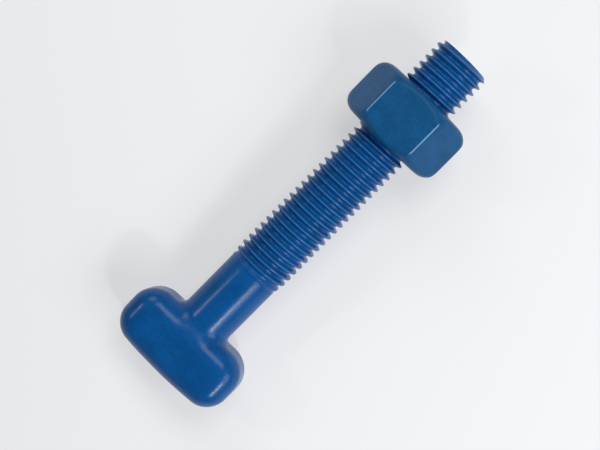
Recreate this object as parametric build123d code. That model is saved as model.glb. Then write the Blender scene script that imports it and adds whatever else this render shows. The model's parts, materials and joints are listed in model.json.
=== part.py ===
from build123d import *
import math
import os

# A forged T-head bolt and its heavy hex nut, lying as they come to rest on a flat surface.
# Sizes are in millimetres and angles in degrees.
# Both pieces are drawn on the bolt's own axis: X runs from the head to the tip, the bearing
# faces of the head are at X = 0 and its wings point along Y. They are laid down at the end.

# T-head: a closed-die forging, rounded all over
head_length = 42.2  # from wing end to wing end
head_height = 20.4  # from the bearing faces to the crown
head_thickness = 19.6  # between the two broad faces
wing_bow = 0.4  # how far each wing end bows out
crown_bow = 1.4  # how far the crown bows out
edge_round = 8.0  # rounding of every edge of the head, nearly to the middle of its sides
neck_fillet = 2.2  # blend of the head into the shank
head_skew = 1.4  # turn of the head in its own plane, left by the forging dies

# Shank and rolled thread, 3/4 inch with 10 threads an inch, drawn over its crests
bolt_length = 113.4  # from the bearing faces to the tip
plain_length = 21.2  # from the bearing faces to the first trace of thread
shank_diameter = 17.3  # the blank that the thread is rolled on
thread_diameter = 18.8  # over the crests
thread_pitch = 2.54
run_out_turns = 2  # turns over which the thread rises out of the shank
tip_chamfer = 1.3
tip_dome = 0.4  # rise of the tip's end face

# Heavy hex nut, each end turned down by a steep cut at the face and a slighter one over the corners
across_flats = 31.5
nut_thickness = 18.65
nut_corner = 1.1  # rounding of the six long edges
nut_face_inset = 2.15  # from the middle of a flat in to the ring left on each end face
nut_shoulder = 0.2  # how far outside the middle of a flat the steep cut meets the slighter one
nut_shoulder_depth = 1.1  # from the end face to where the cuts meet
nut_corner_depth = 3.6  # from the end face to where the corners are whole
nut_clearance = 0.1  # between the crests and the plain bore
countersink = 0.9
nut_setting = 78.4  # from the bearing faces to the nut's inner face

crest_radius = thread_diameter / 2
shank_radius = shank_diameter / 2


def t_head():
    """The head before its blend: a plan outline with bowed sides, thickened and rounded all over."""
    wing = head_length / 2
    corner = wing - wing_bow
    crown = crown_bow - head_height
    with BuildPart() as head:
        with BuildSketch():
            with BuildLine():
                Line((0, -corner), (0, corner))
                ThreePointArc((0, corner), (crown / 2, wing), (crown, corner))
                ThreePointArc((crown, corner), (-head_height, 0), (crown, -corner))
                ThreePointArc((crown, -corner), (crown / 2, -wing), (0, -corner))
            make_face()
        extrude(amount=head_thickness / 2, both=True)
        fillet(head.edges(), min(edge_round, 0.45 * head_thickness, 0.45 * (head_height - crown_bow)))
    return Rot(0, 0, head_skew) * head.part


def forged_blank():
    """Head and plain shank as one piece, with the neck blended over the rounded head."""
    buried = head_height / 2
    shank = extrude(Plane.YZ.offset(-buried) * Circle(shank_radius), buried + plain_length)
    blank = t_head() + shank
    neck = [
        edge
        for face in blank.faces().filter_by(GeomType.CYLINDER)
        if abs(face.radius - shank_radius) < 1e-6
        for edge in face.edges()
        if edge.geom_type != GeomType.LINE and edge.center().X < plain_length / 2
    ]
    return fillet(neck, neck_fillet)


def threaded_end():
    """The threaded length over its crests: it rises out of the shank and ends in a domed tip."""
    rim = bolt_length - tip_dome
    rim_radius = crest_radius - tip_chamfer
    dome_radius = (rim_radius**2 + tip_dome**2) / (2 * tip_dome)
    dome_angle = math.degrees(math.asin(rim_radius / dome_radius))
    with BuildPart() as end:
        with BuildSketch():
            with BuildLine():
                Polyline(
                    (bolt_length, 0),
                    (plain_length, 0),
                    (plain_length, shank_radius),
                    (plain_length + run_out_turns * thread_pitch, crest_radius),
                    (rim - tip_chamfer, crest_radius),
                    (rim, rim_radius),
                )
                CenterArc((bolt_length - dome_radius, 0), dome_radius, dome_angle, -dome_angle)
            make_face()
        revolve(axis=Axis.X)
    return end.part


def t_head_bolt():
    return forged_blank() + threaded_end()


def hex_nut():
    face_radius = across_flats / 2 - nut_face_inset
    shoulder_radius = across_flats / 2 + nut_shoulder
    corner_radius = across_flats / math.sqrt(3)
    bore_radius = crest_radius + nut_clearance
    mouth = bore_radius + countersink
    with BuildPart() as nut:
        with BuildSketch(Plane.YZ) as section:
            RegularPolygon(across_flats / 2, 6, major_radius=False)
            fillet(section.vertices(), nut_corner)
        extrude(amount=nut_thickness)
        with BuildSketch():
            Polygon(
                (0, 0),
                (0, face_radius),
                (nut_shoulder_depth, shoulder_radius),
                (nut_corner_depth, corner_radius),
                (nut_thickness - nut_corner_depth, corner_radius),
                (nut_thickness - nut_shoulder_depth, shoulder_radius),
                (nut_thickness, face_radius),
                (nut_thickness, 0),
                align=None,
            )
        revolve(axis=Axis.X, mode=Mode.INTERSECT)
        with BuildSketch():
            Polygon(
                (0, 0),
                (0, mouth),
                (countersink, bore_radius),
                (nut_thickness - countersink, bore_radius),
                (nut_thickness, mouth),
                (nut_thickness, 0),
                align=None,
            )
        revolve(axis=Axis.X, mode=Mode.SUBTRACT)
    return Pos(nut_setting, 0, 0) * nut.part


def resting_tilt():
    """Slope of the axis when the crown's rounded lower edge and the nut's lower flat touch the ground."""
    flat_start = nut_shoulder_depth * nut_face_inset / (nut_face_inset + nut_shoulder)
    run = nut_setting + flat_start + head_height - edge_round
    fall = across_flats / 2 - (head_thickness / 2 - edge_round)
    return math.degrees(math.atan2(fall, run) - math.asin(edge_round / math.hypot(run, fall)))


def laid_down(pieces):
    """Tilts the pieces about Y and puts the middle of their underside at the origin."""
    tilted = {name: Rot(0, -resting_tilt(), 0) * piece for name, piece in pieces.items()}
    box = Compound(list(tilted.values())).bounding_box()
    to_origin = Pos(-box.center().X, -box.center().Y, -box.min.Z)
    return {name: to_origin * piece for name, piece in tilted.items()}


pieces = laid_down({"t_head_bolt": t_head_bolt(), "hex_nut": hex_nut()})
os.makedirs("parts", exist_ok=True)
for name, piece in pieces.items():
    export_step(piece, f"parts/{name}.step")
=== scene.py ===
import bmesh
import bpy
import json
import math
import numpy as np
from mathutils import Matrix, Vector, noise


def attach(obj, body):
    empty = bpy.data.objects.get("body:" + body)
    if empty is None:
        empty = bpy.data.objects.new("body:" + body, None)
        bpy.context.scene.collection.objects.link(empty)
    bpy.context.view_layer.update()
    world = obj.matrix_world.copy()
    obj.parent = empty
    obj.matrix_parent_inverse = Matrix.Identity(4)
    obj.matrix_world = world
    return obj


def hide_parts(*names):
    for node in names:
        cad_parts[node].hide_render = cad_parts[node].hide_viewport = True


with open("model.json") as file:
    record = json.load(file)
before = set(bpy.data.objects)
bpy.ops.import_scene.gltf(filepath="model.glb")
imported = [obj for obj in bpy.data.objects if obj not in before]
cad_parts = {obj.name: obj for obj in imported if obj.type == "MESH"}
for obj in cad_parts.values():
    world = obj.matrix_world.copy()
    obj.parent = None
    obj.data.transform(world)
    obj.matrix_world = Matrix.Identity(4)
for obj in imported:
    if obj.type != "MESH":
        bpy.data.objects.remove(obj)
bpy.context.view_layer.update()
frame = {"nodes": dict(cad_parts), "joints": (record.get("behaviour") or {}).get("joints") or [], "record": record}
record = frame["record"]
mounts = {mount["name"]: mount for mount in record["mounts"]}
print("frame loaded:", ", ".join(sorted(frame["nodes"])))


def mountPlace(name):
    return Vector(mounts[name]["pos_m"])


def mountSize(name, key):
    return mounts[name]["dims"][key] / 1000


def axisFrame():  # X along the bolt, Y across it, Z up; the bearing faces are at X = 0
    along = Vector(frame["joints"][0]["axis"]).normalized()
    across = Vector((0, 0, 1)).cross(along).normalized()
    matrix = Matrix((along, across, along.cross(across))).transposed().to_4x4()
    matrix.translation = (mountPlace("bearing_face_left") + mountPlace("bearing_face_right")) / 2
    return matrix


toWorld = axisFrame()
toAxis = toWorld.inverted()
plainEnd = mountSize("shank", "length_mm")
shankRadius = mountSize("shank", "r_mm")
crestRadius = mountSize("external_thread", "r_mm")
boltEnd = plainEnd + mountSize("external_thread", "length_mm")
nutStart = (toAxis @ mountPlace("nut_bearing_face")).x
nutThickness = mountSize("wrench_flats", "length_mm")
nutApothem = (toAxis @ mountPlace("wrench_flats")).z
headAxis = toAxis.to_3x3() @ Vector(mounts["bearing_face_left"]["axis"])
headSkew = math.atan2(headAxis.y, headAxis.x)


def headSize():  # crown height, half wing span and half thickness of the head, read from its solid
    unskew = Matrix.Rotation(-headSkew, 4, "Z") @ toAxis
    points = [unskew @ vertex.co for vertex in frame["nodes"]["t_head_bolt"].data.vertices]
    head = [point for point in points if point.x < -0.001]
    return (
        -min(point.x for point in head),
        max(abs(point.y) for point in head),
        max(abs(point.z) for point in head),
    )


headHeight, wingReach, headHalf = headSize()


view = {
    "distance": 0.390,
    "lean": 3.75,  # degrees that the camera leans over towards -Y, seen from the nut
    "aim": (0.0426, 0.00025, 0),  # along the bolt, across it and up
    "axisAngle": 45.26,  # degrees from the picture's lower edge to the bolt
    "lens": 77.0,
    "sensor": 36,
    "nearest": 0.01,
}


def addCamera():
    data = bpy.data.cameras.new("camera")
    data.lens = view["lens"]
    data.sensor_width = view["sensor"]
    data.clip_start = view["nearest"]
    lean = math.radians(view["lean"])
    nutMiddle = Vector((nutStart + nutThickness / 2, 0, 0))
    place = toWorld @ (nutMiddle + view["distance"] * Vector((0, -math.sin(lean), math.cos(lean))))
    back = (place - toWorld @ Vector(view["aim"])).normalized()
    along = toWorld.to_3x3() @ Vector((1, 0, 0))
    along = (along - along.dot(back) * back).normalized()
    across = back.cross(along)
    turn = math.radians(view["axisAngle"])
    right = math.cos(turn) * along - math.sin(turn) * across
    up = math.sin(turn) * along + math.cos(turn) * across
    camera = bpy.data.objects.new("camera", data)
    bpy.context.scene.collection.objects.link(camera)
    camera.matrix_world = Matrix((right, up, back)).transposed().to_4x4()
    camera.matrix_world.translation = place
    bpy.context.scene.camera = camera


# angle is in degrees from straight up towards +Y, seen from the tip, and along is a place on the axis
lamps = {
    "lowerSoftbox": {"angle": -50, "along": 0.045, "watts": 1.25, "size": (0.42, 0.22)},
    "upperSoftbox": {"angle": 52, "along": 0.30, "watts": 0.60, "size": (0.26, 0.20)},
    "overhead": {"angle": 4, "along": 0.36, "watts": 1.50, "size": (0.30, 0.34)},
    "lowerSpot": {"angle": -46, "along": -0.140, "watts": 0.45, "size": (0.045, 0.045)},
    "upperSpot": {"angle": 48, "along": -0.140, "watts": 0.22, "size": (0.045, 0.045)},
}
lampDistance = 0.50
lampColour = (0.94, 0.97, 1.0)


def addLamps():
    along = toWorld.to_3x3() @ Vector((1, 0, 0))
    along.z = 0
    along.normalize()
    for name, lamp in lamps.items():
        data = bpy.data.lights.new(name, "AREA")
        data.shape = "RECTANGLE"
        data.size, data.size_y = lamp["size"]
        data.energy = lamp["watts"]
        data.color = lampColour
        stand = bpy.data.objects.new(name, data)
        bpy.context.scene.collection.objects.link(stand)
        angle = math.radians(lamp["angle"])
        back = Vector((0, math.sin(angle), math.cos(angle)))
        stand.matrix_world = Matrix((along, back.cross(along), back)).transposed().to_4x4()
        stand.matrix_world.translation = toWorld @ Vector((lamp["along"], 0, 0)) + lampDistance * back


class Wire:  # a socket that takes part in sums
    def __init__(self, shading, socket):
        self.shading = shading
        self.socket = socket

    def math(self, operation, first, second):
        return self.shading.node("ShaderNodeMath", {"operation": operation}, {0: first, 1: second})[0]

    def __add__(self, other):
        return self.math("ADD", self, other)

    __radd__ = __add__

    def __sub__(self, other):
        return self.math("SUBTRACT", self, other)

    def __rsub__(self, other):
        return self.math("SUBTRACT", other, self)

    def __mul__(self, other):
        return self.math("MULTIPLY", self, other)

    __rmul__ = __mul__


class Node:  # a node whose outputs are wires
    def __init__(self, shading, inner):
        self.shading = shading
        self.inner = inner

    def __getitem__(self, key):
        return Wire(self.shading, self.inner.outputs[key])


class Shading:  # a node tree under construction
    def __init__(self, tree):
        self.tree = tree
        self.tree.nodes.clear()

    def node(self, kind, settings=None, inputs=None):
        made = self.tree.nodes.new(kind)
        for key, value in (settings or {}).items():
            setattr(made, key, value)
        for key, value in (inputs or {}).items():
            if isinstance(value, Wire):
                self.tree.links.new(value.socket, made.inputs[key])
            else:
                made.inputs[key].default_value = value
        return Node(self, made)

    def ramp(self, wire, low, high):  # 0 at low, 1 at high, smooth between
        settings = {"interpolation_type": "SMOOTHSTEP"}
        inputs = {"Value": wire, "From Min": low, "From Max": high}
        return self.node("ShaderNodeMapRange", settings, inputs)["Result"]

    def noise(self, place, scale, detail=2, roughness=0.5):
        inputs = {"Vector": place, "Scale": scale, "Detail": detail, "Roughness": roughness}
        return self.node("ShaderNodeTexNoise", {}, inputs)["Fac"]

    def mix(self, factor, first, second):  # of two colours
        inputs = {"Factor": factor, 6: first, 7: second}
        return self.node("ShaderNodeMix", {"data_type": "RGBA"}, inputs)[2]


class Finish(Shading):  # a material
    def __init__(self, name):
        self.data = bpy.data.materials.new(name)
        self.data.use_nodes = True
        super().__init__(self.data.node_tree)

    def output(self, surface):
        self.node("ShaderNodeOutputMaterial", {}, {"Surface": surface})
        return self.data


def rgba(colour, gain=1.0):
    return (*(min(1.0, part * gain) for part in colour), 1.0)


coats = {
    "bolt": {
        "colour": (0.0030, 0.085, 0.285),
        "worn": (0.045, 0.190, 0.440),  # lighter colour painted on crests and edges as a highlight
        "wornShare": 0.50,
        "roughness": 0.23,
        "specular": 0.22,
    },
    "nut": {
        "colour": (0.0085, 0.088, 0.225),
        # lighter colour painted on the nut's long edges as a highlight
        "worn": (0.230, 0.430, 0.670),
        "wornShare": 0.75,
        "roughness": 0.30,
        "specular": 0.08,
    },
}


coatDetail = {
    "cloud": (140, 3, 0.55),  # scale, detail and roughness of a noise
    "grain": (1500, 2, 0.6),
    "fleck": (4200, 1, 0.5),
    "peel": (900, 2, 0.5),
    "toneShares": (0.45, 0.35, 0.20),  # of cloud, grain and fleck
    "toneRange": (0.36, 0.64),
    "shades": (0.84, 1.16),  # darkest and lightest, times the colour
    "wornBreakup": 0.5,  # how far the grain breaks up the painted highlight
    "wornRange": (0.30, 0.85),
    "roughness": (0.08, 0.10),  # how far cloud and fleck change it
    "peelShares": (0.7, 0.3),  # of peel and fleck
    "bump": {"Strength": 0.45, "Distance": 0.00005},
}


def coatedSteel(name, coat):
    finish = Finish(name)
    place = finish.node("ShaderNodeTexCoord")["Object"]
    cloud = finish.noise(place, *coatDetail["cloud"])
    grain = finish.noise(place, *coatDetail["grain"])
    fleck = finish.noise(place, *coatDetail["fleck"])
    shares = coatDetail["toneShares"]
    tone = shares[0] * cloud + shares[1] * grain + shares[2] * fleck
    dark, light = (rgba(coat["colour"], gain) for gain in coatDetail["shades"])
    body = finish.mix(finish.ramp(tone, *coatDetail["toneRange"]), dark, light)
    # painted highlight: a lighter base colour mixed in where the mesh's per-point mask marks crests and edges
    highlightLevel = finish.node("ShaderNodeAttribute", {"attribute_name": "highlightPaint"})["Fac"]
    highlightLevel = highlightLevel + coatDetail["wornBreakup"] * (grain - 0.5)
    worn = finish.ramp(highlightLevel, *coatDetail["wornRange"])
    colour = finish.mix(worn * coat["wornShare"], body, rgba(coat["worn"]))
    cloudy, flecked = coatDetail["roughness"]
    roughness = coat["roughness"] + cloudy * (cloud - 0.5) + flecked * (fleck - 0.5)
    shares = coatDetail["peelShares"]
    peel = shares[0] * finish.noise(place, *coatDetail["peel"]) + shares[1] * fleck
    bump = finish.node("ShaderNodeBump", {}, {**coatDetail["bump"], "Height": peel})
    inputs = {
        "Base Color": colour,
        "Roughness": roughness,
        "Normal": bump["Normal"],
        "Specular IOR Level": coat["specular"],
    }
    shader = finish.node("ShaderNodeBsdfPrincipled", {}, inputs)
    return finish.output(shader["BSDF"])


def addPiece(name, points, faces, highlightPaint, material, body, node, slot):
    mesh = bpy.data.meshes.new(name)
    mesh.from_pydata([toWorld @ Vector(point) for point in points], [], faces)
    # per-point share of painted highlight, read by the coat material
    mesh.attributes.new("highlightPaint", "FLOAT", "POINT").data.foreach_set("value", highlightPaint)
    mesh.validate()
    mesh.polygons.foreach_set("use_smooth", [True] * len(mesh.polygons))
    mesh.materials.append(material)
    piece = bpy.data.objects.new(name, mesh)
    bpy.context.scene.collection.objects.link(piece)
    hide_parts(node)
    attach(piece, body)
    print(name, "has", len(mesh.vertices), "points")
    return piece


thread = {
    "pitch": 0.00254,
    "depth": 0.00150,
    "runOut": 2.0,  # turns over which it rises out of the shank
    "phase": 0.323,  # of a pitch past the plain shank, where the first crest stands on the +Y side
    "crest": 0.075,  # half width of the crest, in pitches
    "root": 0.13,  # half width of the root, in pitches
    "ease": 0.04,  # how much the flanks curve
    "steps": (0, 0.05, 0.09, 0.17, 0.27, 0.36, 0.44, 0.56, 0.64, 0.73, 0.83, 0.91, 0.95),  # in pitches
    "gap": 0.0005,  # between the shank's last ring and the helix
    "wornTop": 0.125,  # share of the depth over which a crest gets the painted highlight
    "chamfer": 0.0013,
    "dome": 0.0004,
    "domeLoops": (0.93, 0.75, 0.5, 0.25, 0.08),  # of the rim's radius
}


def threadHeight(turn):  # 1 on the crest and 0 in the root; turn counts pitches from a crest
    off = np.abs((turn + 0.5) % 1.0 - 0.5)
    flank = (0.5 - thread["root"] - off) / (0.5 - thread["root"] - thread["crest"])
    flank = np.clip(flank, 0, 1)
    return flank - thread["ease"] * np.sin(2 * np.pi * flank)


def threadRadius(x, turn):
    rise = np.clip((x - plainEnd) / (thread["runOut"] * thread["pitch"]), 0, 1)
    full = crestRadius - thread["depth"] * (1 - threadHeight(turn))
    radius = shankRadius + rise * (full - shankRadius)
    rim = boltEnd - thread["dome"]
    return np.minimum(radius, crestRadius - thread["chamfer"] + np.maximum(0, rim - x))


boltHead = {
    "crownBow": 0.0014,
    "wingBow": 0.0004,
    "outerCorner": 0.0066,
    "innerCorner": 0.0080,
    "edgeRound": 0.0064,
    "neckBlend": 0.0022,
    "waver": 0.00006,  # unevenness left by the forging
    "waverScale": 110,
    "waverFade": 0.004,  # along the shank from the bearing faces
    "reach": 0.045,  # past every point of the head, seen from its middle
    "tilts": (178.5, 46),  # of the first and last ring's rays, in degrees from the bolt's direction
    "sides": 144,  # points round the axis
    "headRings": 116,
    "shankRings": 22,
}


def roundedJoin(radius, *depths):  # the part common to bodies given by their depths, its corners rounded
    beyond = [depth + radius for depth in depths]
    outer = np.sqrt(sum(np.maximum(part, 0) ** 2 for part in beyond))
    return outer + np.minimum(np.maximum.reduce(beyond), 0) - radius


def arcDepth(offset, travel, bow, reach):  # distance outside a side that bows out by bow over 2 * reach
    radius = reach * reach / (2 * bow) + bow / 2
    return np.hypot(offset + radius, travel) - radius


def headDepth(x, y, z):  # distance outside the head and the plain shank together
    turned = x * math.cos(headSkew) + y * math.sin(headSkew)
    side = np.abs(y * math.cos(headSkew) - x * math.sin(headSkew))
    wing = arcDepth(side - wingReach, turned + headHeight / 2, boltHead["wingBow"], headHeight / 2)
    crown = arcDepth(-turned - headHeight, side, boltHead["crownBow"], wingReach)
    inner = roundedJoin(boltHead["innerCorner"], turned, wing)
    outer = roundedJoin(boltHead["outerCorner"], crown, wing)
    plan = np.where(turned > -headHeight / 2, inner, outer)
    block = roundedJoin(boltHead["edgeRound"], plan, np.abs(z) - headHalf)
    shank = np.hypot(y, z) - shankRadius
    shank = np.where(x < -headHeight / 2, np.maximum(shank, -headHeight / 2 - x), shank)
    blend = boltHead["neckBlend"]
    near = np.hypot(np.maximum(blend - block, 0), np.maximum(blend - shank, 0))
    return np.maximum(np.minimum(block, shank), blend) - near


halvings = 36  # that find where a ray leaves a body


def castRing(depth, start, tilt, angles, reach):  # where rays from a point of the axis leave a body
    rays = np.stack((
        np.full(len(angles), math.cos(tilt)),
        math.sin(tilt) * np.cos(angles),
        math.sin(tilt) * np.sin(angles),
    ))
    root = np.array(((start,), (0,), (0,)))
    near, far = np.zeros(len(angles)), np.full(len(angles), reach)
    for step in range(halvings):
        middle = (near + far) / 2
        outside = depth(*(root + rays * middle)) > 0
        far = np.where(outside, middle, far)
        near = np.where(outside, near, middle)
    return (root + rays * far).T


def headRings(lastX):  # from the crown to the end of the plain shank
    angles = 2 * np.pi * np.arange(boltHead["sides"]) / boltHead["sides"]
    start = -headHeight / 2
    first, last = (math.radians(tilt) for tilt in boltHead["tilts"])
    rings = []
    for tilt in np.linspace(first, last, boltHead["headRings"]):
        rings.append(castRing(headDepth, start, tilt, angles, boltHead["reach"]))
    for shift in np.linspace(0, lastX - shankRadius - start, boltHead["shankRings"] + 1)[1:]:
        rings.append(castRing(headDepth, start + shift, math.pi / 4, angles, boltHead["reach"]))
    return rings


def wavered(point):  # a forged face is never quite flat
    place = Vector(point)
    fade = min(1.0, max(0.0, (boltHead["waverFade"] - place.x) / boltHead["waverFade"]))
    return place + fade * boltHead["waver"] * noise.noise_vector(place * boltHead["waverScale"])


def boltMesh():
    sides = boltHead["sides"]
    pitch = thread["pitch"]
    helixStart = plainEnd + (thread["phase"] - 2) * pitch
    rings = headRings(helixStart - thread["gap"])
    points = [Vector((-headHeight, 0, 0))]
    faces = []
    highlightPaint = [0.0] * (1 + len(rings) * sides)
    for ring in rings:
        points.extend(wavered(point) for point in ring)
    for k in range(sides):
        faces.append((0, 1 + (k + 1) % sides, 1 + k))
    for r in range(len(rings) - 1):
        low = 1 + r * sides
        for k in range(sides):
            n = (k + 1) % sides
            faces.append((low + k, low + n, low + sides + n, low + sides + k))
    lastRing = 1 + (len(rings) - 1) * sides

    # the thread is one strip that climbs along a right-hand helix
    steps = np.array(thread["steps"])
    count = len(steps)
    turns = math.ceil((boltEnd - helixStart) / pitch) + 2
    total = turns * sides
    first = len(points)
    spin = np.arange(total + 1)
    angle = 2 * np.pi * spin / sides
    along = helixStart + pitch * (spin[:, None] / sides + steps[None, :])
    radius = threadRadius(along, np.broadcast_to(steps[None, :], along.shape))
    grid = np.stack((along, radius * np.cos(angle)[:, None], radius * np.sin(angle)[:, None]), axis=2)
    points.extend(Vector(point) for point in grid.reshape(-1, 3))
    # painted highlight on the thread's crests, once the thread has risen out of the shank
    risen = np.clip((along - plainEnd) / (thread["runOut"] * pitch), 0, 1)
    highlightPaint.extend((risen * np.clip(1 + (threadHeight(steps) - 1) / thread["wornTop"], 0, 1)).ravel())

    def at(i, p):
        return first + (i + sides) * count if p == count else first + i * count + p

    for i in range(total - sides):
        for p in range(count):
            faces.append((at(i, p), at(i + 1, p), at(i + 1, p + 1), at(i, p + 1)))
    for k in range(sides - 1):
        faces.append((lastRing + k, lastRing + k + 1, at(k + 1, 0), at(k, 0)))
    closing = [lastRing + sides - 1, lastRing] + [at(0, p) for p in range(count + 1)] + [at(sides - 1, 0)]
    faces.append(tuple(closing))
    return points, faces, highlightPaint


def closeTip(piece):  # cuts the thread off square and domes its end
    rim = boltEnd - thread["dome"]
    along = toWorld.to_3x3() @ Vector((1, 0, 0))
    mesh = bmesh.new()
    mesh.from_mesh(piece.data)
    geometry = mesh.verts[:] + mesh.edges[:] + mesh.faces[:]
    bmesh.ops.bisect_plane(
        mesh, geom=geometry, plane_co=toWorld @ Vector((rim, 0, 0)), plane_no=along, clear_outer=True
    )
    edges = [edge for edge in mesh.edges if edge.is_boundary]
    size = 1.0
    for share in thread["domeLoops"]:
        made = bmesh.ops.extrude_edge_only(mesh, edges=edges)["geom"]
        edges = [item for item in made if isinstance(item, bmesh.types.BMEdge)]
        fresh = {item for item in made if isinstance(item, bmesh.types.BMVert)}
        edges = [edge for edge in edges if edge.verts[0] in fresh and edge.verts[1] in fresh]
        for vertex in fresh:
            place = toAxis @ vertex.co
            place.y *= share / size
            place.z *= share / size
            place.x = rim + thread["dome"] * (1 - share * share)
            vertex.co = toWorld @ place
        size = share
    bmesh.ops.contextual_create(mesh, geom=edges)
    bmesh.ops.recalc_face_normals(mesh, faces=mesh.faces[:])
    for face in mesh.faces:
        face.smooth = True
    mesh.to_mesh(piece.data)
    mesh.free()


nut = {
    "outerRadius": 0.01830,  # of the round that trims the corners
    "endRound": 0.0051,  # of that round into the end faces
    "corner": 0.0007,
    "wornEdge": 0.00025,  # half width of the painted highlight line on each long edge
    "soften": 0.0007,  # where the flats meet the turned ends
    "countersink": 0.0009,
    "clearance": 0.0001,
    "wornCore": 1.4,  # more than 1 leaves the middle of that line at the full painted highlight
    "wornStart": 0.0024,  # from an end face
    "wornFade": 0.0015,
    "reach": 0.03,  # past every corner, seen from the nut's middle
    "flatPoints": 9,  # from the middle of a flat to its corner's rounding
    "cornerPoints": 5,  # from there to the middle of the corner
    "endRings": 26,
    "boreRings": 90,
}


def nutDepth(x, y, z):  # distance outside the nut, with its middle at x = 0 and a flat on top
    radius = np.hypot(y, z)
    angle = np.arctan2(z, y)
    offset = np.abs((angle % (math.pi / 3)) - math.pi / 6)
    inner = nutApothem - nut["corner"]
    out = radius * np.cos(offset) - inner
    past = radius * np.sin(offset) - inner * math.tan(math.pi / 6)
    flats = np.hypot(np.maximum(out, 0), np.maximum(past, 0)) + np.minimum(out, 0) - nut["corner"]
    turned = roundedJoin(nut["endRound"], np.abs(x) - nutThickness / 2, radius - nut["outerRadius"])
    return roundedJoin(nut["soften"], flats, turned)


def nutMesh():
    inner = nutApothem - nut["corner"]
    bend = math.atan(inner * math.tan(math.pi / 6) / nutApothem)
    flat = np.linspace(0, bend, nut["flatPoints"])
    half = np.concatenate((flat[:-1], np.linspace(bend, math.pi / 6, nut["cornerPoints"])))
    offsets = np.concatenate((-half[:0:-1], half[:-1]))
    angles = np.concatenate([offsets + math.pi / 6 + side * math.pi / 3 for side in range(6)])
    middle = nutStart + nutThickness / 2
    mouth = crestRadius + nut["clearance"] + nut["countersink"]
    rings = []
    highlightPaint = []
    # painted highlight along the nut's long edges, fading out towards the end faces
    toEdge = (math.pi / 6 - np.abs(np.tile(offsets, 6))) * nutApothem
    onEdge = np.clip(nut["wornCore"] - toEdge / nut["wornEdge"], 0, 1)
    first = math.atan2(mouth, -nutThickness / 2)
    for tilt in np.linspace(first, math.pi - first, 2 * nut["endRings"]):
        ring = castRing(nutDepth, 0.0, tilt, angles, nut["reach"])
        fromEnd = nutThickness / 2 - np.abs(ring[:, 0])
        highlightPaint.extend(onEdge * np.clip((fromEnd - nut["wornStart"]) / nut["wornFade"], 0, 1))
        rings.append(ring + np.array((middle, 0, 0)))
    for x in np.linspace(nutStart + nutThickness, nutStart, nut["boreRings"] + 2)[1:-1]:
        depth = min(x - nutStart, nutStart + nutThickness - x)
        turn = (x - plainEnd) / thread["pitch"] - thread["phase"] - angles / (2 * np.pi)
        bore = threadRadius(np.full(len(angles), x), turn) + nut["clearance"]
        bore = np.maximum(bore, mouth - depth)
        rings.append(np.stack((np.full(len(angles), x), bore * np.cos(angles), bore * np.sin(angles)), axis=1))
    sides = len(angles)
    points = [Vector(point) for ring in rings for point in ring]
    highlightPaint.extend([0.0] * (len(points) - len(highlightPaint)))
    faces = []
    for r in range(len(rings)):
        low, high = r * sides, (r + 1) % len(rings) * sides
        for k in range(sides):
            n = (k + 1) % sides
            faces.append((low + k, low + n, high + n, high + k))
    return points, faces, highlightPaint


studio = {
    "overhead": 0.06,  # brightness of the room straight up
    "horizon": 0.25,
    "heights": (0.1, 0.9),  # where the horizon's brightness ends and the overhead's begins
    "floor": 0.86,
    "ownGlow": 0.45,  # share of plain white in what the floor shows, so that its shadow stays light
    "reach": 2.5,
}


def addFloor():
    finish = Finish("paleFloor")
    shade = (studio["floor"], studio["floor"], studio["floor"], 1)
    plain = finish.node("ShaderNodeBsdfPrincipled", {}, {"Base Color": shade, "Roughness": 0.9})["BSDF"]
    glow = finish.node("ShaderNodeEmission", {}, {"Color": (1, 1, 1, 1), "Strength": 1.0})["Emission"]
    ray = finish.node("ShaderNodeLightPath")
    seen = ray["Is Camera Ray"] + ray["Is Glossy Ray"] + ray["Is Transmission Ray"]
    shader = finish.node("ShaderNodeMixShader", {}, {0: seen * studio["ownGlow"], 1: plain, 2: glow})
    material = finish.output(shader["Shader"])
    mesh = bpy.data.meshes.new("floor")
    reach = studio["reach"]
    corners = [(-reach, -reach, 0), (reach, -reach, 0), (reach, reach, 0), (-reach, reach, 0)]
    mesh.from_pydata(corners, [], [(0, 1, 2, 3)])
    mesh.materials.append(material)
    floor = bpy.data.objects.new("floor", mesh)
    bpy.context.scene.collection.objects.link(floor)


def addWorld():
    world = bpy.data.worlds.new("studio")
    world.use_nodes = True
    room = Shading(world.node_tree)
    direction = room.node("ShaderNodeTexCoord")["Generated"]
    height = room.node("ShaderNodeSeparateXYZ", {}, {"Vector": direction})["Z"]
    share = room.ramp(height, *studio["heights"])
    low = (studio["horizon"], studio["horizon"], studio["horizon"], 1)
    high = (studio["overhead"], studio["overhead"], studio["overhead"], 1)
    colour = room.mix(share, low, high)
    background = room.node("ShaderNodeBackground", {}, {"Color": colour, "Strength": 1.0})["Background"]
    room.node("ShaderNodeOutputWorld", {}, {"Surface": background})
    bpy.context.scene.world = world


addCamera()
addLamps()
addWorld()
addFloor()
bpy.context.scene.view_settings.view_transform = "Standard"
print("camera, lamps and floor are in place")

boltCoat = coatedSteel("boltCoat", coats["bolt"])
nutCoat = coatedSteel("nutCoat", coats["nut"])
bolt = addPiece("headedBolt", *boltMesh(), boltCoat, "bolt", "t_head_bolt", "coated_bolt")
closeTip(bolt)
print("the bolt is closed with", len(bolt.data.polygons), "faces")
addPiece("heavyNut", *nutMesh(), nutCoat, "nut", "hex_nut", "coated_nut")
